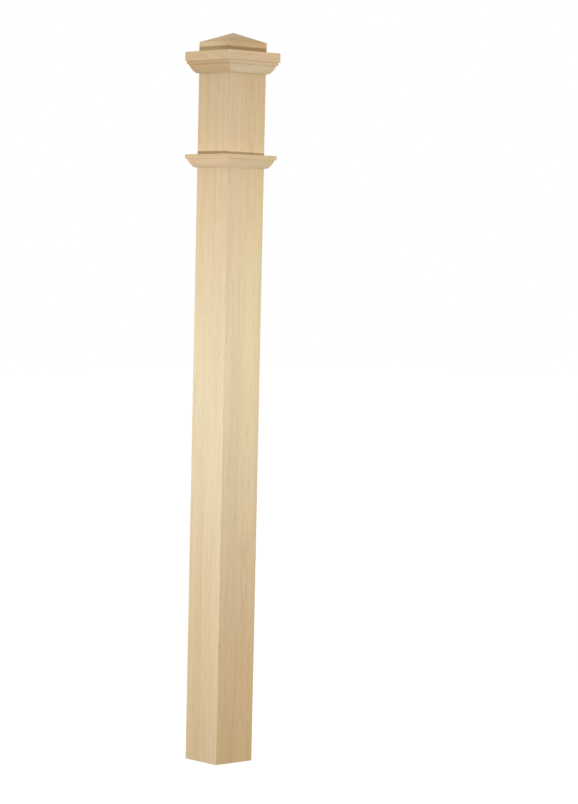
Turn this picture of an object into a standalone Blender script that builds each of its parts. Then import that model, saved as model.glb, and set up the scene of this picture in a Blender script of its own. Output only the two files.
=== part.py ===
"""A box newel post: a hollow shaft of four mitred boards, a band moulding, a cap moulding, a plate and
a pyramid block. It stands on its foot, with the middle of the foot at the origin. Units are metres."""

from math import cos, pi, radians, sin, sqrt

import bmesh
import bpy

# Shaft
SHAFT_WIDTH = 0.0889
SHAFT_LENGTH = 1.3170
BOARD_THICKNESS = 0.01905
CORNER_RADIUS = 0.0012

# Moulding stock, for the band round the shaft and for the cap under the plate
MOULDING_HEIGHT = 0.0240
MOULDING_PROJECTION = 0.0161
FILLET_HEIGHT = 0.0080
QUIRK_DEPTH = 0.0024
TOE_DEPTH = 0.0039
CURVE_BULGE = 0.0011

# Top of the band, down from the shaft's top
BAND_DROP = 0.1740

# Planed off the top of the cap's lengths of moulding
CAP_TRIM = 0.0022

# Plate on the shaft's end, and how far it stands out past the cap moulding
PLATE_THICKNESS = 0.0174
PLATE_REVEAL = 0.00265
PLATE_EDGE_RADIUS = 0.0010

# Pyramid block on the plate, and how far its sides stand out past the shaft's
BLOCK_OVERHANG = 0.0004
BLOCK_SIDE = 0.0183
PYRAMID_RISE = 0.0183

# Glue line between two pieces that touch
GLUE_GAP = 0.0003

CURVE_STEPS = 8
CORNER_STEPS = 3
EDGE_SEGMENTS = 2
SHARPEST_SMOOTH_EDGE = radians(25)
SANDED_ROUGHNESS = 0.65

SHAFT_HALF = SHAFT_WIDTH / 2
MOULDING_BACK = SHAFT_HALF + GLUE_GAP
MITRE_INSET = GLUE_GAP / sqrt(2)
SIDES = ("front", "right", "back", "left")


def clear_scene():
    for thing in list(bpy.data.objects):
        bpy.data.objects.remove(thing, do_unlink=True)


def srgb(red, green, blue):
    """An 8-bit screen colour as the linear colour that a shader takes."""
    linear = []
    for value in (red, green, blue):
        share = value / 255
        linear.append(share / 12.92 if share <= 0.04045 else ((share + 0.055) / 1.055) ** 2.4)
    return (*linear, 1.0)


def sanded_oak(name, colour):
    material = bpy.data.materials.new(name)
    material.use_nodes = True
    shader = material.node_tree.nodes["Principled BSDF"]
    shader.inputs["Base Color"].default_value = colour
    shader.inputs["Roughness"].default_value = SANDED_ROUGHNESS
    shader.inputs["Metallic"].default_value = 0.0
    material.diffuse_color = colour
    return material


def place(name, mesh, colour, height, turn=0.0):
    """One piece as an object of its own, turned about the post's axis and lifted to its height."""
    piece = bpy.data.objects.new(name, mesh)
    bpy.context.collection.objects.link(piece)
    piece.location.z = height
    piece.rotation_euler.z = turn
    piece.material_slots[0].link = "OBJECT"
    piece.material_slots[0].material = sanded_oak(f"{name}_oak", colour)


def finished_mesh(name, shape):
    """The mesh of a closed shape, with its faces turned outwards and its rounded parts smooth."""
    bmesh.ops.recalc_face_normals(shape, faces=shape.faces)
    mesh = bpy.data.meshes.new(name)
    shape.to_mesh(mesh)
    shape.free()
    mesh.materials.append(None)
    mesh.shade_smooth()
    mesh.set_sharp_from_angle(angle=SHARPEST_SMOOTH_EDGE)
    return mesh


def extruded(shape, outline):
    """Fills a closed outline with a face and extrudes it. The far end's corners, which are returned,
    still lie on the outline and are moved next."""
    face = shape.faces.new([shape.verts.new(point) for point in outline])
    grown = bmesh.ops.extrude_face_region(shape, geom=[face])
    return [item for item in grown["geom"] if isinstance(item, bmesh.types.BMVert)]


def board_mesh():
    """The front board: its mitred section, rounded where the shaft's corners are, run up the shaft."""
    inner = SHAFT_HALF - BOARD_THICKNESS
    centre = SHAFT_HALF - CORNER_RADIUS
    right_half = [(inner - MITRE_INSET, -inner)]
    for step in range(CORNER_STEPS):
        angle = pi / 4 * (1 - step / (CORNER_STEPS - 1))
        depth = centre + CORNER_RADIUS * cos(angle)
        across = centre + CORNER_RADIUS * sin(angle)
        right_half.append((min(across, depth - MITRE_INSET), -depth))
    left_half = [(-x, y) for x, y in reversed(right_half)]
    shape = bmesh.new()
    top = extruded(shape, [(x, y, 0.0) for x, y in right_half + left_half])
    bmesh.ops.translate(shape, verts=top, vec=(0.0, 0.0, SHAFT_LENGTH))
    return finished_mesh("shaft_board", shape)


def moulding_profile(trim):
    """Distances out from the moulding's back against heights: a flat fillet on top, a quirk under it,
    and a shallow swelling curve that runs down to a flat toe. The trim comes off the fillet's top."""
    top = MOULDING_HEIGHT - trim
    curve_top = MOULDING_HEIGHT - FILLET_HEIGHT
    curve_start = MOULDING_PROJECTION - QUIRK_DEPTH
    curve_run = curve_start - TOE_DEPTH
    chord = sqrt(curve_run**2 + curve_top**2)
    points = [
        (0.0, 0.0),
        (0.0, top),
        (MOULDING_PROJECTION, top),
        (MOULDING_PROJECTION, curve_top),
    ]
    for step in range(CURVE_STEPS + 1):
        share = step / CURVE_STEPS
        swell = CURVE_BULGE * 4 * share * (1 - share)
        out = curve_start - curve_run * share + swell * curve_top / chord
        height = curve_top * (1 - share) - swell * curve_run / chord
        points.append((out, height))
    return points


def moulding_mesh(name, trim):
    """The front length of the moulding, with both ends cut to the mitre."""
    left_end = []
    for out, height in moulding_profile(trim):
        depth = MOULDING_BACK + out
        left_end.append((MITRE_INSET - depth, -depth, height))
    shape = bmesh.new()
    for corner in extruded(shape, left_end):
        corner.co.x = -corner.co.x
    return finished_mesh(name, shape)


def square_slab(half, thickness):
    """A square slab on its underside, and the corners of its top."""
    shape = bmesh.new()
    top = extruded(shape, [(-half, -half, 0.0), (half, -half, 0.0), (half, half, 0.0), (-half, half, 0.0)])
    bmesh.ops.translate(shape, verts=top, vec=(0.0, 0.0, thickness))
    return shape, top


def plate_mesh():
    """A square plate with all its edges eased."""
    shape, _ = square_slab(MOULDING_BACK + MOULDING_PROJECTION + PLATE_REVEAL, PLATE_THICKNESS)
    bmesh.ops.bevel(
        shape,
        geom=shape.edges[:],
        offset=PLATE_EDGE_RADIUS,
        segments=EDGE_SEGMENTS,
        profile=0.5,
        affect="EDGES",
    )
    return finished_mesh("cap_plate", shape)


def block_mesh():
    """A square block whose top is poked up into a low pyramid."""
    shape, top = square_slab(SHAFT_HALF + BLOCK_OVERHANG, BLOCK_SIDE)
    top_face = next(face for face in shape.faces if all(corner in top for corner in face.verts))
    peak = bmesh.ops.poke(shape, faces=[top_face])["verts"]
    bmesh.ops.translate(shape, verts=peak, vec=(0.0, 0.0, PYRAMID_RISE))
    return finished_mesh("pyramid_block", shape)


def four_round(name, mesh, colours, height):
    """The same length on each side of the shaft."""
    for count, (side, colour) in enumerate(zip(SIDES, colours)):
        place(f"{name}_{side}", mesh, colour, height, count * pi / 2)


def build_shaft():
    tones = (srgb(222, 202, 164), srgb(218, 197, 160), srgb(224, 206, 170), srgb(230, 212, 176))
    four_round("shaft_board", board_mesh(), tones, 0.0)


def build_band():
    tones = (srgb(218, 198, 160), srgb(220, 198, 162), srgb(217, 196, 160), srgb(228, 200, 164))
    bottom = SHAFT_LENGTH - BAND_DROP - MOULDING_HEIGHT
    four_round("band_moulding", moulding_mesh("band_moulding", 0.0), tones, bottom)


def build_cap():
    tones = (srgb(220, 202, 166), srgb(216, 196, 160), srgb(218, 198, 160), srgb(212, 182, 144))
    bottom = SHAFT_LENGTH - MOULDING_HEIGHT + CAP_TRIM
    four_round("cap_moulding", moulding_mesh("cap_moulding", CAP_TRIM), tones, bottom)
    plate_bottom = SHAFT_LENGTH + GLUE_GAP
    place("cap_plate", plate_mesh(), srgb(220, 194, 158), plate_bottom)
    block_bottom = plate_bottom + PLATE_THICKNESS + GLUE_GAP
    place("pyramid_block", block_mesh(), srgb(214, 190, 142), block_bottom)


clear_scene()
build_shaft()
build_band()
build_cap()
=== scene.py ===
"""A box newel post of bare oak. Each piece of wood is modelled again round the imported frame, with tighter
joints, eased edges and a grain of its own. Units are metres. The front board looks to -Y."""

from math import cos, pi, radians, sin, sqrt

import bmesh
import bpy
from mathutils import Euler, Matrix, Vector


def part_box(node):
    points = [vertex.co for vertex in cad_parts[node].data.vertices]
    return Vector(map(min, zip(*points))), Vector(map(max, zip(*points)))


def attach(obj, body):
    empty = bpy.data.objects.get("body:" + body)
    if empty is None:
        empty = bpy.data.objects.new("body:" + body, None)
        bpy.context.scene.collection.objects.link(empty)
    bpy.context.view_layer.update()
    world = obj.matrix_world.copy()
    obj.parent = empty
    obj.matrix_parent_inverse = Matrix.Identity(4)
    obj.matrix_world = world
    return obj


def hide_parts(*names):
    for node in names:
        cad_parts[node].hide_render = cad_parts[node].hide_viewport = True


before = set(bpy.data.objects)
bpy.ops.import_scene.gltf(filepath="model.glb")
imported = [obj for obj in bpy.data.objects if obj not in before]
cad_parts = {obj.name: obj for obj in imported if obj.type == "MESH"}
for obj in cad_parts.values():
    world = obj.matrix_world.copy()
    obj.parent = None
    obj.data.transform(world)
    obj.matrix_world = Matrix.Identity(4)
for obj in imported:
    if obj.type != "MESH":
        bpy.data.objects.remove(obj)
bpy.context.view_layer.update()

MM = 0.001
SIDES = ("front", "right", "back", "left")

# The frame's own places and sizes, which every piece keeps
board_low, board_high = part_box("shaft_board_front")
band_low, band_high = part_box("band_moulding_front")
cap_low, cap_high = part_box("cap_moulding_front")
plate_low, plate_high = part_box("cap_plate")
pyramid_low, pyramid_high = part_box("pyramid_block")

# Joints between glued pieces are drawn this wide, narrower than the frame's
GLUE_LINE = 0.06 * MM

# Shaft boards. The cuts along each outer corner touch a rounding of this radius
SHAFT_HALF = -board_low.y
CORNER_RADIUS = 0.5 * MM
CORNER_CUTS = 4

# Moulding stock
MOULDING_BACK = SHAFT_HALF + GLUE_LINE
CURVE_HEIGHT = 16.0 * MM
QUIRK_DEPTH = 2.4 * MM
CURVE_RUN = 9.8 * MM
CURVE_BULGE = 1.1 * MM
CURVE_ROWS = 14
GROOVE_DEPTH = 0.8 * MM
ARRIS = 0.35 * MM
ARRIS_SEGMENTS = 2

# Plate and pyramid block
PLATE_EDGE_RADIUS = 1.0 * MM
PLATE_EDGE_SEGMENTS = 4
BLOCK_SIDE = 18.3 * MM
BLOCK_EDGE_RADIUS = 0.6 * MM
BLOCK_EDGE_SEGMENTS = 3

# Points this close count as in one place, or are merged. A face whose normal lies this much along a
# direction counts as facing it.
TINY = 0.01 * MM
MERGE_WITHIN = 0.001 * MM
SQUARE_ON = 0.9
SMOOTH_UP_TO = radians(30)

# Grain of the oak. A fast-grown tree has rings up to 6 mm wide. Real pores are 0.3 mm wide, too fine to
# show here, and are drawn about three times as wide. Streaks and rings are drawn out some 45 times
# along the grain. Each range is where a mark begins and where it is at its strongest in its noise.
RING = 5.5 * MM
RING_UNEVENNESS = 4.0
SPRING_SHARE = 0.55
WANDER = 16 * MM
WANDERS_PER_METRE = (11.0, 11.0, 1.8)
ARCH_LENGTH = 120 * MM
DRAWN_OUT = 0.022
STREAK = 11 * MM
STREAK_RANGE = (0.35, 0.68)
STREAK_ROUGHNESS = 0.72
HUE_STREAK = 17 * MM
HUE_RANGE = (0.38, 0.62)
PORE_WIDTH = 1.0 * MM
PORE_LENGTH = 16 * MM
PORE_RANGE = (0.56, 0.68)
PORES_ALL_ROUND = 0.3
PORES_ADDED_IN_SPRING = 0.7
PORE_SINK = 0.15 * MM
PORE_RELIEF = 0.35

# How far each mark takes the wood towards its deepest tone
DEEP_TONE = "#B98C58"
STREAK_DEPTH = 0.13
SPRING_DEPTH = 0.06
PORE_DEPTH = 0.24
END_DEPTH = 0.05
END_RANGE = (0.6, 0.95)

# The two hues between which the wood drifts
PINKISH = "#FFFAFB"
YELLOWISH = "#FCFEF6"

# Sheen of bare wood
SUMMER_ROUGHNESS = 0.58
PORE_ROUGHNESS = 0.85
WOOD_IOR = 1.5
WOOD_SPECULAR = 0.3

UP = Vector((0, 0, 1))
DOWN = Vector((0, 0, -1))
# To the right along each side, as someone who faces it sees it
RIGHTWARDS = {
    "front": Vector((1, 0, 0)),
    "right": Vector((0, 1, 0)),
    "back": Vector((-1, 0, 0)),
    "left": Vector((0, -1, 0)),
}

# Each stick's own wood: where the heart lay in millimetres, the tones along the grain, the tints across
# the piece at the near end and at the far end of the grain, and the arch at the near end if it has one.
# On the front and left boards the tones also hold painted light: the foot's tone is made lighter, as
# painted light that stands in for the light the white floor throws up onto the foot
NO_TINT = ("#FFFFFF", "#FFFFFF", "#FFFFFF")
BOARD_WOOD = {
    "front": {
        "heart": (13, 13),
        # The first tone is painted light: the foot is made lighter, standing in for light thrown up by the
        # floor
        "tones_and_painted_light": ("#EBD2A4", "#E1CDAA", "#E2D3B3", "#E4D2B0", "#E5CFAA"),
        "near": ("#FDFDFC", "#F8F8F6", "#FBFAF7", "#FFFEFB", "#FDFCF6"),
        "far": ("#FDFEFE", "#FDFDFD", "#FDFCFB", "#FFFDFA", "#FCFAF6"),
        "arch": -8 * MM,
    },
    "right": {
        "heart": (-22, 30),
        "tones_and_painted_light": ("#E6CDA2", "#E2D3B2", "#E3CCA3"),
        "near": NO_TINT,
        "far": NO_TINT,
    },
    "back": {
        "heart": (5, 18),
        "tones_and_painted_light": ("#E6CDA2", "#E2D3B2", "#E3CCA3"),
        "near": NO_TINT,
        "far": NO_TINT,
    },
    "left": {
        "heart": (-58, 24),
        # The first tone is painted light: the foot is made lighter, standing in for light thrown up by the
        # floor
        "tones_and_painted_light": ("#EFDAB7", "#E5D3B3", "#E1D6B9", "#E5D2B4", "#E3CEAD"),
        "near": ("#FAF9F7", "#F6F4F0", "#F8F7F4", "#FBFAF9", "#FFFFFE"),
        "far": ("#FFFDF9", "#FFFDF8", "#FCFBF9", "#FCFBF8", "#FDFCFA"),
    },
}
BAND_WOOD = {
    "front": {
        "heart": (22, 14),
        "tones_and_painted_light": ("#E5D1AE", "#E5D1AE", "#E5D1AE"),
        "near": ("#F1F1E5", "#FCFCFC", "#FFFFFF"),
        "far": ("#F1F1E5", "#FCFCFC", "#FFFFFF"),
    },
    "right": {
        "heart": (-18, 16),
        "tones_and_painted_light": ("#E8D2AE", "#E6CFAA", "#E4CDA7"),
        "near": NO_TINT,
        "far": NO_TINT,
    },
    "back": {
        "heart": (30, 10),
        "tones_and_painted_light": ("#E0C9A3", "#E2CCA7", "#E4CFAB"),
        "near": NO_TINT,
        "far": NO_TINT,
    },
    "left": {
        "heart": (26, 26),
        "tones_and_painted_light": ("#E8D1AE", "#E9D2AE", "#E9D2AE"),
        "near": ("#F2F1ED", "#FFFFFF", "#F8F3F7"),
        "far": ("#F2F1ED", "#FFFFFF", "#F8F3F7"),
    },
}
CAP_WOOD = {
    "front": {
        "heart": (-24, 18),
        "tones_and_painted_light": ("#E8D6B3", "#E7D6B4", "#E7D6B3"),
        "near": ("#FFFFFF", "#FFFFFF", "#F7F5F6"),
        "far": ("#FFFFFF", "#FFFFFF", "#F7F5F6"),
    },
    "right": {
        "heart": (28, 8),
        "tones_and_painted_light": ("#E3CDA9", "#E1CBA6", "#DFC9A4"),
        "near": NO_TINT,
        "far": NO_TINT,
    },
    "back": {
        "heart": (-16, 22),
        "tones_and_painted_light": ("#DEC7A0", "#E0CAA3", "#E3CDA8"),
        "near": NO_TINT,
        "far": NO_TINT,
    },
    "left": {
        "heart": (20, 30),
        "tones_and_painted_light": ("#D4B78F", "#D6B992", "#D9BC96"),
        "near": ("#FFFFFF", "#FFFFFF", "#F7F5F6"),
        "far": ("#FFFFFF", "#FFFFFF", "#F7F5F6"),
    },
}
PLATE_WOOD = {
    "heart": (24, -60),
    "tones_and_painted_light": ("#EDD3B0", "#EDD3B0", "#EDD3B0"),
    "near": ("#F9FEFE", "#F9FDFA", "#F9FBF4"),
    "far": ("#FFFEFA", "#FFFFFF", "#FFFFFF"),
}
BLOCK_WOOD = {
    "heart": (-20, 50),
    "tones_and_painted_light": ("#D5BF96", "#E1D2AA", "#E1D2AB"),
    "near": ("#F9FAFD", "#FEFEFC", "#FFFEF8"),
    "far": NO_TINT,
}

# Camera, fitted to the photograph's corners and edges
CAMERA_PLACE = (-3.4735, -4.0041, 0.9573)
CAMERA_TURN = radians(42.23)
CAMERA_DIP = radians(2.976)
CAMERA_ROLL = radians(1.245)
CAMERA_LENS = 126.05
CAMERA_REACH = 50.0

# Lamps: the side that each stands in front of, its distance, its height and its power
SIDE_LAMPS = (
    ("left", 1.27, 0.68, 9.6),
    ("front", 1.27, 0.77, 7.9),
    ("right", 1.50, 1.00, 9.0),
    ("back", 1.50, 1.00, 8.0),
)
FOOT_LAMP_DEPTH = 0.5
FOOT_LAMP_POWER = 2.0
LAMP_LENGTH = 0.40
LAMP_WIDTH = 0.16
LAMP_SPREAD = radians(160)

# Room. The light that fills the shadows is a little warmer than the lamps, and it fades in across the
# horizon
WHITE = "#FFFFFF"
WARM_WHITE = "#FFF7EE"
HORIZON = (-0.05, 0.15)
FILL_STRENGTH = 0.76

# Floor
FLOOR_HALF = 14.0
FLOOR_DROP = 0.1 * MM
FLOOR_PAINT = "#606060"
FLOOR_GLOW = 0.93


def middle(part):
    """The middle of a vertex, an edge or a face."""
    if isinstance(part, bmesh.types.BMVert):
        return part.co
    return sum((corner.co for corner in part.verts), Vector()) / len(part.verts)


def pick(piece, kind, test):
    """Selects only the vertices, edges or faces that pass a test of their place or normal."""
    bpy.ops.mesh.select_mode(type=kind)
    bpy.ops.mesh.select_all(action="DESELECT")
    shape = bmesh.from_edit_mesh(piece.data)
    parts = {"VERT": shape.verts, "EDGE": shape.edges, "FACE": shape.faces}[kind]
    for part in parts:
        part.select = test(part)
    shape.select_flush_mode()
    bmesh.update_edit_mesh(piece.data)


def sawn_blank(name, low, high):
    """A blank of wood from its lowest to its highest corner, left open in edit mode."""
    bpy.ops.object.select_all(action="DESELECT")
    low = Vector(low)
    high = Vector(high)
    bpy.ops.mesh.primitive_cube_add(size=1.0, location=(low + high) / 2, scale=high - low)
    bpy.ops.object.transform_apply(location=True, rotation=False, scale=True)
    piece = bpy.context.object
    piece.name = name
    piece.data.name = name
    bpy.ops.object.mode_set(mode="EDIT")
    return piece


def saw_off(point, outwards):
    """Takes off all that lies outside a plane and closes the cut. What stands out by less than a tenth of
    a millimetre, the tool's own tolerance, stays on."""
    bpy.ops.mesh.select_all(action="SELECT")
    bpy.ops.mesh.bisect(plane_co=point, plane_no=outwards, use_fill=True, clear_outer=True)


def cut_mitres():
    """Cuts both ends of a front length along the diagonals, each short by half a glue line. At a board's
    outer corner that is within the tool's tolerance, so the boards' joint closes towards the corner."""
    inset = GLUE_LINE / sqrt(2)
    saw_off((-inset, 0.0, 0.0), (1.0, 1.0, 0.0))
    saw_off((inset, 0.0, 0.0), (-1.0, 1.0, 0.0))


def close_up(piece):
    """Ends the shaping: normals outwards, curves smooth, flat faces flat."""
    bpy.ops.mesh.select_all(action="SELECT")
    bpy.ops.mesh.remove_doubles(threshold=MERGE_WITHIN)
    bpy.ops.mesh.normals_make_consistent(inside=False)
    bpy.ops.object.mode_set(mode="OBJECT")
    bpy.ops.object.shade_smooth_by_angle(angle=SMOOTH_UP_TO)
    bpy.ops.object.modifier_add(type="WEIGHTED_NORMAL")
    piece.modifiers[-1].keep_sharp = True
    bpy.ops.object.modifier_apply(modifier=piece.modifiers[-1].name)


def front_board():
    """Mitred along both sides, its outer corners cut in passes, of which the tool's tolerance leaves one
    narrow flat, and its foot's front arris eased, more up the face than in from it."""
    high = (SHAFT_HALF, board_high.y, board_high.z)
    piece = sawn_blank("board_front", (-SHAFT_HALF, -SHAFT_HALF, board_low.z), high)
    cut_mitres()
    centre = SHAFT_HALF - CORNER_RADIUS
    for side in (-1, 1):
        for step in range(1, CORNER_CUTS + 1):
            angle = pi / 4 * step / CORNER_CUTS
            outwards = Vector((side * sin(angle), -cos(angle), 0.0))
            saw_off(Vector((side * centre, -centre, 0.0)) + CORNER_RADIUS * outwards, outwards)
    pick(
        piece,
        "EDGE",
        lambda edge: middle(edge).z < board_low.z + TINY and middle(edge).y < -centre - TINY,
    )
    bpy.ops.mesh.bevel(offset=ARRIS, segments=ARRIS_SEGMENTS, affect="EDGES")
    close_up(piece)
    return piece


def front_moulding(name, low, high):
    """A planed bar gets its fillet, its quirk and the swelling curve down to the toe, then the fine groove
    under the fillet, its eased arrises and its mitres."""
    curve_top = CURVE_HEIGHT
    height = high.z - low.z
    curve_face = low.y + QUIRK_DEPTH
    toe_face = curve_face + CURVE_RUN
    # The bar is longer than the side, and the mitres take the waste off
    long_half = -2 * low.y
    piece = sawn_blank(name, (-long_half, curve_face, 0.0), (long_half, -MOULDING_BACK, curve_top))
    pick(piece, "FACE", lambda face: face.normal.z > SQUARE_ON)
    bpy.ops.mesh.extrude_region_move(TRANSFORM_OT_translate={"value": (0.0, 0.0, height - curve_top)})
    pick(piece, "FACE", lambda face: face.normal.y < -SQUARE_ON and middle(face).z > curve_top)
    bpy.ops.mesh.extrude_region_move(TRANSFORM_OT_translate={"value": (0.0, -QUIRK_DEPTH, 0.0)})
    pick(piece, "VERT", lambda corner: corner.co.z < TINY and corner.co.y < curve_face + TINY)
    bpy.ops.transform.translate(value=(0.0, CURVE_RUN, 0.0))

    # Rows of points across the sloping face, each moved out to the curve
    pick(
        piece,
        "EDGE",
        lambda edge: abs(edge.verts[0].co.z - edge.verts[1].co.z) > curve_top - TINY
        and middle(edge).z < curve_top
        and middle(edge).y < toe_face - TINY,
    )
    bpy.ops.mesh.subdivide(number_cuts=CURVE_ROWS - 1)
    chord = sqrt(CURVE_RUN**2 + curve_top**2)
    for row in range(1, CURVE_ROWS):
        share = row / CURVE_ROWS
        level = curve_top * (1 - share)
        pick(piece, "VERT", lambda corner: abs(corner.co.z - level) < TINY and corner.co.y < toe_face)
        swell = CURVE_BULGE * 4 * share * (1 - share)
        bpy.ops.transform.translate(value=(0.0, -swell * curve_top / chord, -swell * CURVE_RUN / chord))

    # The cutter leaves a fine groove where the fillet meets the curve
    pick(
        piece,
        "VERT",
        lambda corner: abs(corner.co.z - curve_top) + abs(corner.co.y - curve_face) < TINY,
    )
    bpy.ops.transform.translate(value=(0.0, GROOVE_DEPTH, 0.0))

    # The sharp arrises along the length are eased
    arris_lines = ((low.y, height), (low.y, curve_top), (toe_face, 0.0))
    pick(
        piece,
        "EDGE",
        lambda edge: abs(middle(edge).x) < TINY
        and any(abs(middle(edge).y - y) + abs(middle(edge).z - z) < TINY for y, z in arris_lines),
    )
    bpy.ops.mesh.bevel(offset=ARRIS, segments=ARRIS_SEGMENTS, affect="EDGES")
    cut_mitres()
    bpy.ops.mesh.select_all(action="SELECT")
    bpy.ops.transform.translate(value=(0.0, 0.0, low.z))
    close_up(piece)
    return piece


def copy_of(piece, name, change):
    """A copy with its own mesh, moved or turned in the mesh itself."""
    mesh = piece.data.copy()
    mesh.name = name
    mesh.transform(change)
    copy = bpy.data.objects.new(name, mesh)
    bpy.context.scene.collection.objects.link(copy)
    return copy


def all_round(first, name):
    """The front length and its copies on the other three sides."""
    lengths = [first]
    for count, side in enumerate(SIDES[1:], start=1):
        lengths.append(copy_of(first, f"{name}_{side}", Matrix.Rotation(count * pi / 2, 4, "Z")))
    return lengths


def square_plate():
    """The plate reaches down to the shaft's end, and all its edges are eased."""
    low = (plate_low.x, plate_low.y, board_high.z + GLUE_LINE)
    piece = sawn_blank("plate", low, plate_high)
    bpy.ops.mesh.select_all(action="SELECT")
    bpy.ops.mesh.bevel(offset=PLATE_EDGE_RADIUS, segments=PLATE_EDGE_SEGMENTS, affect="EDGES")
    close_up(piece)
    return piece


def pyramid():
    """A low block whose top is raised to a point, with its corners, eaves and hips rubbed down a little."""
    low = (pyramid_low.x, pyramid_low.y, plate_high.z + GLUE_LINE)
    eaves = pyramid_low.z + BLOCK_SIDE
    piece = sawn_blank("pyramid", low, (pyramid_high.x, pyramid_high.y, eaves))
    pick(piece, "FACE", lambda face: face.normal.z > SQUARE_ON)
    bpy.ops.mesh.poke()
    pick(piece, "VERT", lambda corner: corner.co.xy.length < TINY)
    bpy.ops.transform.translate(value=(0.0, 0.0, pyramid_high.z - eaves))
    pick(piece, "EDGE", lambda edge: middle(edge).z > low[2] + TINY)
    bpy.ops.mesh.bevel(offset=BLOCK_EDGE_RADIUS, segments=BLOCK_EDGE_SEGMENTS, affect="EDGES")
    close_up(piece)
    return piece


def hex_colour(code):
    """A screen colour, written as in #E0CCA8, as the linear colour that a shader takes."""
    linear = []
    for start in (1, 3, 5):
        share = int(code[start : start + 2], 16) / 255
        linear.append(share / 12.92 if share <= 0.04045 else ((share + 0.055) / 1.055) ** 2.4)
    return (*linear, 1.0)


def add_node(tree, kind, inputs=(), **settings):
    """Adds one node. Inputs are pairs of a socket's name or number and a value or the socket to link."""
    node = tree.nodes.new(kind)
    for name, value in settings.items():
        setattr(node, name, value)
    for socket, value in inputs:
        if isinstance(value, bpy.types.NodeSocket):
            tree.links.new(value, node.inputs[socket])
        else:
            node.inputs[socket].default_value = value
    return node


def lay_tones(ramp, codes):
    """Puts evenly spaced tones on a colour ramp, so that they run smoothly into each other."""
    ramp.interpolation = "CARDINAL"
    stops = ramp.elements
    for number in range(1, len(codes) - 1):
        stops.new(number / (len(codes) - 1))
    for number, code in enumerate(codes):
        stops[number].position = number / (len(codes) - 1)
        stops[number].color = hex_colour(code)


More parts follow.
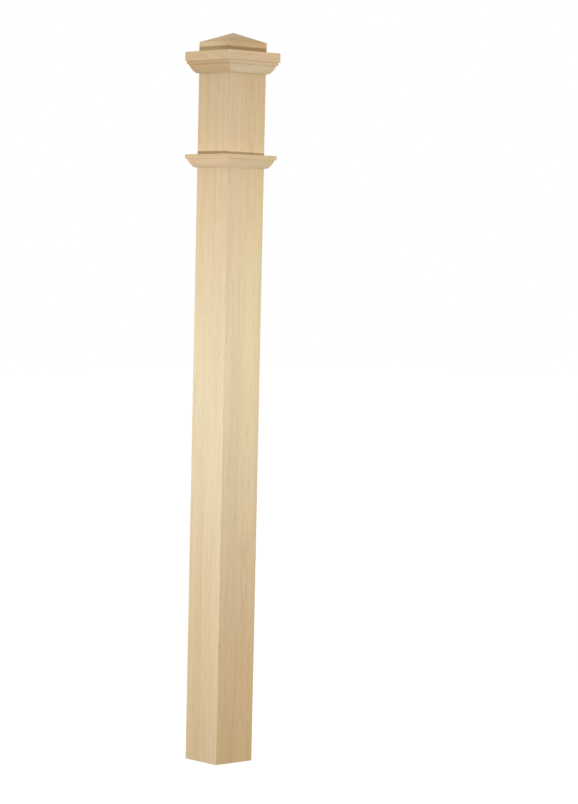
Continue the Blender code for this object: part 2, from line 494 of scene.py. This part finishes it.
def bare_oak(name, node, across, grain, heart, tones_and_painted_light, near, far, arch=0.0):
    """White oak, planed and sanded and left bare: pale and matt, with straight grain lines, broad soft
    streaks, and open pores that show as fine dark dashes, or as dots on sawn ends.

    The log's own frame is laid in the piece: X goes across, Y goes into it and Z follows the grain. The
    heart is how far the pith lies across and behind the piece's middle. The tones follow the grain, and on
    the front and left boards they also hold painted light, a lighter foot. The near tints go across the
    piece where the grain starts and the far tints where it ends. An arch below nought brings the pith
    closer to the face at the start, which draws pointed arches there."""
    material = bpy.data.materials.new(name)
    material.use_nodes = True
    tree = material.node_tree
    shader = tree.nodes["Principled BSDF"]
    inwards = grain.cross(across)
    low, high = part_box(node)
    centre = (low + high) / 2
    side_ends = sorted((low.dot(across), high.dot(across)))
    grain_ends = sorted((low.dot(grain), high.dot(grain)))
    pith_across = centre.dot(across) + heart[0] * MM + WANDER / 2
    pith_depth = centre.dot(inwards) + heart[1] * MM + WANDER / 2

    place = add_node(tree, "ShaderNodeTexCoord")
    turn = Matrix((across, inwards, grain)).to_euler()
    laid = add_node(
        tree, "ShaderNodeMapping", [(0, place.outputs["Object"]), ("Rotation", turn)]
    ).outputs[0]
    parts = add_node(tree, "ShaderNodeSeparateXYZ", [(0, laid)])
    length = parts.outputs["Z"]

    # The pith wanders by a few millimetres in half a metre, on its own way in each stick
    slow = add_node(
        tree, "ShaderNodeVectorMath", [(0, laid), (1, WANDERS_PER_METRE)], operation="MULTIPLY"
    )
    seed = 7.0 * heart[0] + 3.0 * heart[1]
    wander = add_node(
        tree,
        "ShaderNodeTexNoise",
        [("Vector", slow.outputs[0]), ("W", seed), ("Scale", 1.0), ("Detail", 1.0)],
        noise_dimensions="4D",
    )
    bent = add_node(
        tree,
        "ShaderNodeVectorMath",
        [(0, wander.outputs["Color"]), (1, (WANDER, WANDER, 0.0)), (2, laid)],
        operation="MULTIPLY_ADD",
    )
    near_depth = add_node(
        tree,
        "ShaderNodeMapRange",
        [
            (0, length),
            ("From Min", grain_ends[0]),
            ("From Max", grain_ends[0] + ARCH_LENGTH),
            ("To Min", pith_depth + arch),
            ("To Max", pith_depth),
        ],
        interpolation_type="SMOOTHSTEP",
    )
    pith = add_node(tree, "ShaderNodeCombineXYZ", [(0, pith_across), (1, near_depth.outputs[0])])
    from_pith = add_node(
        tree, "ShaderNodeVectorMath", [(0, bent.outputs[0]), (1, pith.outputs[0])], operation="SUBTRACT"
    )
    radial = add_node(
        tree,
        "ShaderNodeVectorMath",
        [(0, from_pith.outputs[0]), (1, (1.0, 1.0, 0.0))],
        operation="MULTIPLY",
    )
    radius = add_node(
        tree, "ShaderNodeVectorMath", [(0, radial.outputs[0])], operation="LENGTH"
    ).outputs["Value"]

    # Streaks and rings lie on the same cylinders round the pith and fade slowly along the grain
    drawn_out = add_node(tree, "ShaderNodeMath", [(0, length), (1, DRAWN_OUT)], operation="MULTIPLY")
    sheet = add_node(tree, "ShaderNodeCombineXYZ", [(0, radius), (1, drawn_out.outputs[0]), (2, seed)])
    streak = add_node(
        tree,
        "ShaderNodeTexNoise",
        [
            ("Vector", sheet.outputs[0]),
            ("Scale", 1 / STREAK),
            ("Detail", 4.0),
            ("Roughness", STREAK_ROUGHNESS),
        ],
    ).outputs["Fac"]
    hue_streak = add_node(
        tree,
        "ShaderNodeTexNoise",
        [("Vector", sheet.outputs[0]), ("Scale", 1 / HUE_STREAK), ("Detail", 2.0)],
    ).outputs["Fac"]
    count = add_node(tree, "ShaderNodeMath", [(0, radius), (1, 1 / RING)], operation="MULTIPLY")
    uneven = add_node(
        tree,
        "ShaderNodeMath",
        [(0, streak), (1, RING_UNEVENNESS), (2, count.outputs[0])],
        operation="MULTIPLY_ADD",
    )
    year = add_node(tree, "ShaderNodeMath", [(0, uneven.outputs[0])], operation="FRACT").outputs[0]
    spring = add_node(
        tree,
        "ShaderNodeMapRange",
        [(0, year), ("From Min", 0.0), ("From Max", SPRING_SHARE), ("To Min", 1.0), ("To Max", 0.0)],
        interpolation_type="SMOOTHSTEP",
    ).outputs[0]

    # Open pores: dashes along the grain, most of them in the spring wood
    dashes = add_node(
        tree,
        "ShaderNodeVectorMath",
        [(0, laid), (1, (1 / PORE_WIDTH, 1 / PORE_WIDTH, 1 / PORE_LENGTH))],
        operation="MULTIPLY",
    )
    speck = add_node(
        tree, "ShaderNodeTexNoise", [("Vector", dashes.outputs[0]), ("Scale", 1.0), ("Detail", 1.0)]
    )
    open_pore = add_node(
        tree,
        "ShaderNodeMapRange",
        [(0, speck.outputs["Fac"]), ("From Min", PORE_RANGE[0]), ("From Max", PORE_RANGE[1])],
    ).outputs[0]
    crowd = add_node(
        tree,
        "ShaderNodeMath",
        [(0, spring), (1, PORES_ADDED_IN_SPRING), (2, PORES_ALL_ROUND)],
        operation="MULTIPLY_ADD",
    )
    pore = add_node(
        tree, "ShaderNodeMath", [(0, open_pore), (1, crowd.outputs[0])], operation="MULTIPLY"
    ).outputs[0]

    # The tones of the whole stick, with the painted light that the front and left boards' tones hold: a
    # lighter foot
    side_share = add_node(
        tree,
        "ShaderNodeMapRange",
        [(0, parts.outputs["X"]), ("From Min", side_ends[0]), ("From Max", side_ends[1])],
    ).outputs[0]
    grain_share = add_node(
        tree,
        "ShaderNodeMapRange",
        [(0, length), ("From Min", grain_ends[0]), ("From Max", grain_ends[1])],
    ).outputs[0]
    near_tint = add_node(tree, "ShaderNodeValToRGB", [(0, side_share)])
    lay_tones(near_tint.color_ramp, near)
    far_tint = add_node(tree, "ShaderNodeValToRGB", [(0, side_share)])
    lay_tones(far_tint.color_ramp, far)
    tint = add_node(
        tree,
        "ShaderNodeMix",
        [(0, grain_share), (6, near_tint.outputs["Color"]), (7, far_tint.outputs["Color"])],
        data_type="RGBA",
    ).outputs[2]
    tone_and_painted_light_ramp = add_node(tree, "ShaderNodeValToRGB", [(0, grain_share)])
    lay_tones(tone_and_painted_light_ramp.color_ramp, tones_and_painted_light)
    toned = add_node(
        tree,
        "ShaderNodeMix",
        [(0, 1.0), (6, tone_and_painted_light_ramp.outputs["Color"]), (7, tint)],
        data_type="RGBA",
        blend_type="MULTIPLY",
    ).outputs[2]
    hue_share = add_node(
        tree,
        "ShaderNodeMapRange",
        [(0, hue_streak), ("From Min", HUE_RANGE[0]), ("From Max", HUE_RANGE[1])],
    ).outputs[0]
    hue = add_node(
        tree,
        "ShaderNodeMix",
        [(0, hue_share), (6, hex_colour(PINKISH)), (7, hex_colour(YELLOWISH))],
        data_type="RGBA",
    ).outputs[2]
    varied = add_node(
        tree, "ShaderNodeMix", [(0, 1.0), (6, toned), (7, hue)], data_type="RGBA", blend_type="MULTIPLY"
    ).outputs[2]

    # Streaks, spring wood and pores each deepen the tone
    streak_depth = add_node(
        tree,
        "ShaderNodeMapRange",
        [
            (0, streak),
            ("From Min", STREAK_RANGE[0]),
            ("From Max", STREAK_RANGE[1]),
            ("To Max", STREAK_DEPTH),
        ],
    ).outputs[0]
    spring_depth = add_node(
        tree,
        "ShaderNodeMath",
        [(0, spring), (1, SPRING_DEPTH), (2, streak_depth)],
        operation="MULTIPLY_ADD",
    ).outputs[0]
    depth = add_node(
        tree, "ShaderNodeMath", [(0, pore), (1, PORE_DEPTH), (2, spring_depth)], operation="MULTIPLY_ADD"
    ).outputs[0]
    grained = add_node(
        tree,
        "ShaderNodeMix",
        [(0, depth), (6, varied), (7, hex_colour(DEEP_TONE))],
        data_type="RGBA",
        blend_type="MULTIPLY",
    ).outputs[2]

    # Sawn ends drink in more light than the long faces
    facing = add_node(
        tree, "ShaderNodeVectorMath", [(0, place.outputs["Normal"]), (1, grain)], operation="DOT_PRODUCT"
    )
    sawn_end = add_node(tree, "ShaderNodeMath", [(0, facing.outputs["Value"])], operation="ABSOLUTE")
    end_depth = add_node(
        tree,
        "ShaderNodeMapRange",
        [
            (0, sawn_end.outputs[0]),
            ("From Min", END_RANGE[0]),
            ("From Max", END_RANGE[1]),
            ("To Max", END_DEPTH),
        ],
    ).outputs[0]
    colour = add_node(
        tree,
        "ShaderNodeMix",
        [(0, end_depth), (6, grained), (7, hex_colour(DEEP_TONE))],
        data_type="RGBA",
        blend_type="MULTIPLY",
    ).outputs[2]
    tree.links.new(colour, shader.inputs["Base Color"])

    # Bare wood scatters light: rougher in the pores, a little smoother on the hard summer wood
    rough = add_node(
        tree,
        "ShaderNodeMapRange",
        [(0, depth), ("To Min", SUMMER_ROUGHNESS), ("To Max", PORE_ROUGHNESS)],
    ).outputs[0]
    tree.links.new(rough, shader.inputs["Roughness"])
    shader.inputs["IOR"].default_value = WOOD_IOR
    shader.inputs["Specular IOR Level"].default_value = WOOD_SPECULAR
    sunk = add_node(
        tree,
        "ShaderNodeBump",
        [("Strength", PORE_RELIEF), ("Distance", PORE_SINK), ("Height", depth)],
        invert=True,
    ).outputs[0]
    tree.links.new(sunk, shader.inputs["Normal"])
    return material


def dress(piece, node, material):
    """One finished piece: its material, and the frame's node that it stands for."""
    piece.data.materials.clear()
    piece.data.materials.append(material)
    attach(piece, "root")
    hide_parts(node)


def set_camera():
    lens = bpy.data.cameras.new("camera")
    lens.lens = CAMERA_LENS
    lens.clip_end = CAMERA_REACH
    camera = bpy.data.objects.new("camera", lens)
    bpy.context.scene.collection.objects.link(camera)
    look = Euler((pi / 2 - CAMERA_DIP, 0.0, -CAMERA_TURN)).to_matrix()
    camera.rotation_euler = (look @ Matrix.Rotation(CAMERA_ROLL, 3, "Z")).to_euler()
    camera.location = CAMERA_PLACE
    bpy.context.scene.camera = camera


def flat_lamp(name, place, turn, power):
    """A small flat lamp that the camera doesn't see."""
    lamp = bpy.data.lights.new(name, "AREA")
    lamp.shape = "RECTANGLE"
    lamp.size = LAMP_LENGTH
    lamp.size_y = LAMP_WIDTH
    lamp.spread = LAMP_SPREAD
    lamp.energy = power
    holder = bpy.data.objects.new(name, lamp)
    bpy.context.scene.collection.objects.link(holder)
    holder.location = place
    holder.rotation_euler = turn
    holder.visible_camera = False


def side_light(side, distance, height, power):
    """A lamp straight in front of one side of the post."""
    turn = SIDES.index(side) * pi / 2
    place = (distance * sin(turn), -distance * cos(turn), height)
    flat_lamp(f"lamp_{side}", place, (pi / 2, 0.0, turn), power)


def light_studio():
    """The lamps and a white room. The camera sees plain white all round, and the wood gets the warm fill,
    which comes from above."""
    flat_lamp("lamp_under_foot", (0.0, 0.0, -FOOT_LAMP_DEPTH), (pi, 0.0, 0.0), FOOT_LAMP_POWER)
    for side, distance, height, power in SIDE_LAMPS:
        side_light(side, distance, height, power)
    world = bpy.data.worlds.new("white_room")
    world.use_nodes = True
    tree = world.node_tree
    tree.nodes.clear()
    seen = add_node(tree, "ShaderNodeBackground", [("Color", hex_colour(WHITE)), ("Strength", 1.0)])
    way = add_node(tree, "ShaderNodeTexCoord")
    split = add_node(tree, "ShaderNodeSeparateXYZ", [(0, way.outputs["Generated"])])
    glow = add_node(
        tree,
        "ShaderNodeMapRange",
        [
            (0, split.outputs["Z"]),
            ("From Min", HORIZON[0]),
            ("From Max", HORIZON[1]),
            ("To Max", FILL_STRENGTH),
        ],
    )
    fill = add_node(
        tree, "ShaderNodeBackground", [("Color", hex_colour(WARM_WHITE)), ("Strength", glow.outputs[0])]
    )
    ray = add_node(tree, "ShaderNodeLightPath")
    mix = add_node(
        tree,
        "ShaderNodeMixShader",
        [(0, ray.outputs["Is Camera Ray"]), (1, fill.outputs[0]), (2, seen.outputs[0])],
    )
    add_node(tree, "ShaderNodeOutputWorld", [("Surface", mix.outputs[0])])
    bpy.context.scene.world = world
    bpy.context.scene.view_settings.view_transform = "Standard"


def lay_floor():
    """A matt white floor just under the foot. It is clear from below and open under the foot, where a
    lamp shines up, so that the underside can be seen. The camera sees it glow as white as the room, and
    the wood gets no more light from it than from matt grey paint."""
    bpy.ops.object.select_all(action="DESELECT")
    bpy.ops.mesh.primitive_plane_add(size=2 * FLOOR_HALF, location=(0.0, 0.0, -FLOOR_DROP))
    bpy.ops.object.transform_apply(location=True, rotation=False, scale=False)
    floor = bpy.context.object
    floor.name = "floor"
    bpy.ops.object.mode_set(mode="EDIT")
    bpy.ops.mesh.select_all(action="SELECT")
    bpy.ops.mesh.inset(thickness=FLOOR_HALF - (SHAFT_HALF - ARRIS))
    pick(floor, "FACE", lambda face: middle(face).length < FLOOR_HALF / 2)
    bpy.ops.mesh.delete(type="FACE")
    bpy.ops.object.mode_set(mode="OBJECT")
    material = bpy.data.materials.new("matt_white_floor")
    material.use_nodes = True
    tree = material.node_tree
    tree.nodes.clear()
    paint = add_node(tree, "ShaderNodeBsdfDiffuse", [("Color", hex_colour(FLOOR_PAINT))])
    glow = add_node(tree, "ShaderNodeEmission", [("Color", hex_colour(WHITE)), ("Strength", FLOOR_GLOW)])
    ray = add_node(tree, "ShaderNodeLightPath")
    both = add_node(tree, "ShaderNodeAddShader", [(0, paint.outputs[0]), (1, glow.outputs[0])])
    mix = add_node(
        tree,
        "ShaderNodeMixShader",
        [(0, ray.outputs["Is Camera Ray"]), (1, paint.outputs[0]), (2, both.outputs[0])],
    )
    face = add_node(tree, "ShaderNodeNewGeometry")
    clear = add_node(tree, "ShaderNodeBsdfTransparent")
    one_way = add_node(
        tree,
        "ShaderNodeMixShader",
        [(0, face.outputs["Backfacing"]), (1, mix.outputs[0]), (2, clear.outputs[0])],
    )
    add_node(tree, "ShaderNodeOutputMaterial", [("Surface", one_way.outputs[0])])
    floor.data.materials.append(material)
    floor.visible_diffuse = False


set_camera()
light_studio()
lay_floor()

boards = all_round(front_board(), "board")
bands = all_round(front_moulding("band_front", band_low, band_high), "band")
caps = all_round(front_moulding("cap_front", cap_low, cap_high), "cap")
for side, board, band, cap in zip(SIDES, boards, bands, caps):
    node = f"shaft_board_{side}"
    oak = bare_oak(f"sanded_oak_board_{side}", node, RIGHTWARDS[side], UP, **BOARD_WOOD[side])
    dress(board, node, oak)
    node = f"band_moulding_{side}"
    oak = bare_oak(f"planed_oak_band_{side}", node, DOWN, RIGHTWARDS[side], **BAND_WOOD[side])
    dress(band, node, oak)
    node = f"cap_moulding_{side}"
    oak = bare_oak(f"planed_oak_cap_{side}", node, DOWN, RIGHTWARDS[side], **CAP_WOOD[side])
    dress(cap, node, oak)
oak = bare_oak("sanded_oak_plate", "cap_plate", RIGHTWARDS["right"], RIGHTWARDS["front"], **PLATE_WOOD)
dress(square_plate(), "cap_plate", oak)
oak = bare_oak("sanded_oak_block", "pyramid_block", RIGHTWARDS["front"], RIGHTWARDS["right"], **BLOCK_WOOD)
dress(pyramid(), "pyramid_block", oak)
